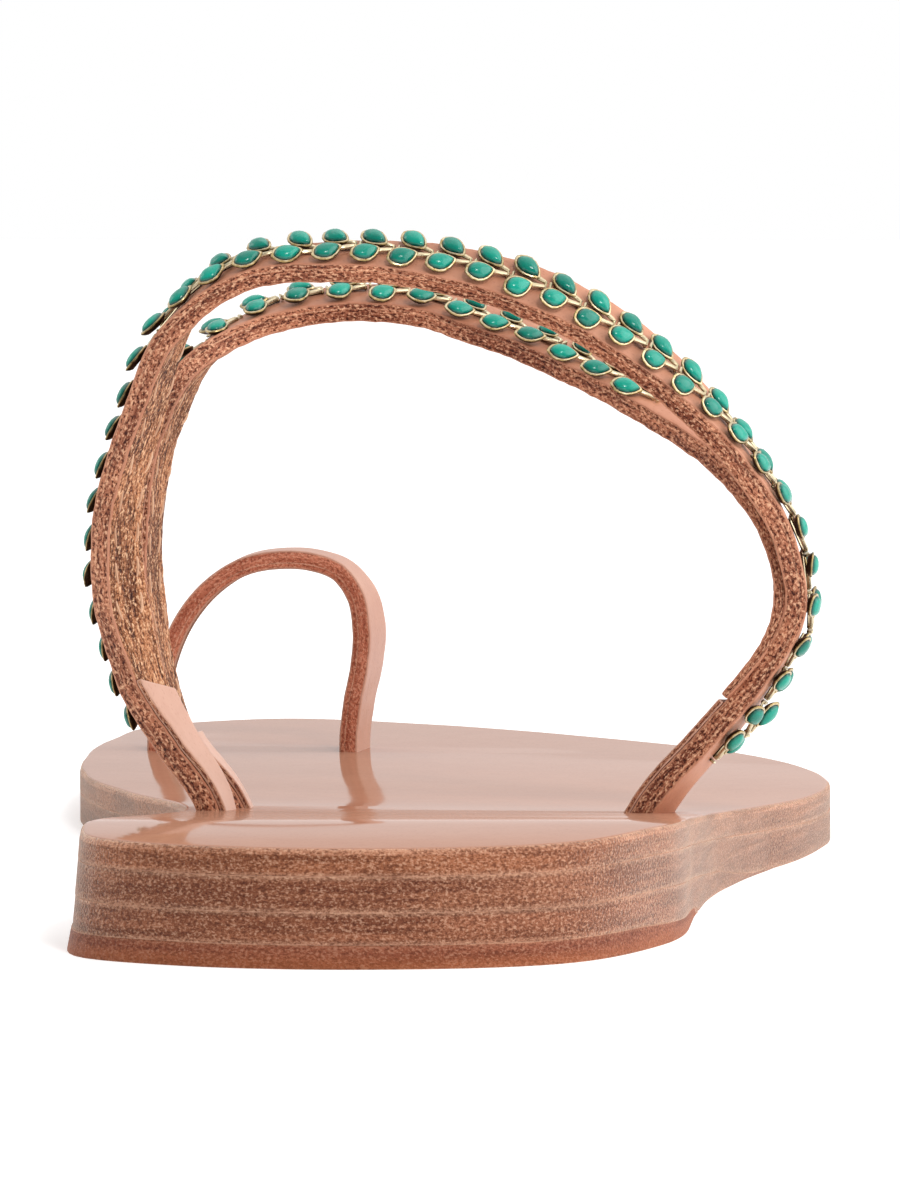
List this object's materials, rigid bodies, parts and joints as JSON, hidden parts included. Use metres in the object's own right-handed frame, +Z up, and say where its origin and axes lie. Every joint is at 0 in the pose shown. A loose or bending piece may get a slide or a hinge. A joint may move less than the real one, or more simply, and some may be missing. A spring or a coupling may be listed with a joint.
{
  "type": "flat sandal",
  "caption": "Flat leather slip-on sandal for the right foot with leaf-chain instep straps that meet at the outer side, a toe ring and a stacked leather sole.",
  "frame": {"origin": "on the floor under the middle of the bounding box", "axes": "+Y from heel to toe, +X to the outer (little toe) side, +Z up"},
  "size_m": [0.0928, 0.248, 0.0725],
  "materials": {
    "footbed_leather": "smooth natural grain, semi-gloss",
    "sole_leather": "sanded raw edge",
    "lift_leather": "sanded raw edge, darker",
    "strap_leather": "smooth grain outside, suede inside, raw edges",
    "tab_leather": "smooth grain",
    "enamelled_brass": "glossy turquoise enamel in gold rims"
  },
  "bodies": {
    "root": {"insole": "footbed_leather", "outsole": "sole_leather", "heel_wedge": "sole_leather", "heel_lift": "lift_leather", "instep_straps": "strap_leather", "toe_ring": "strap_leather", "anchor_tab_inner_rear": "tab_leather", "anchor_tab_inner_front": "tab_leather", "anchor_tab_outer": "tab_leather", "leaf_chain_rear": "enamelled_brass", "leaf_chain_front": "enamelled_brass"}
  },
  "joints": []
}
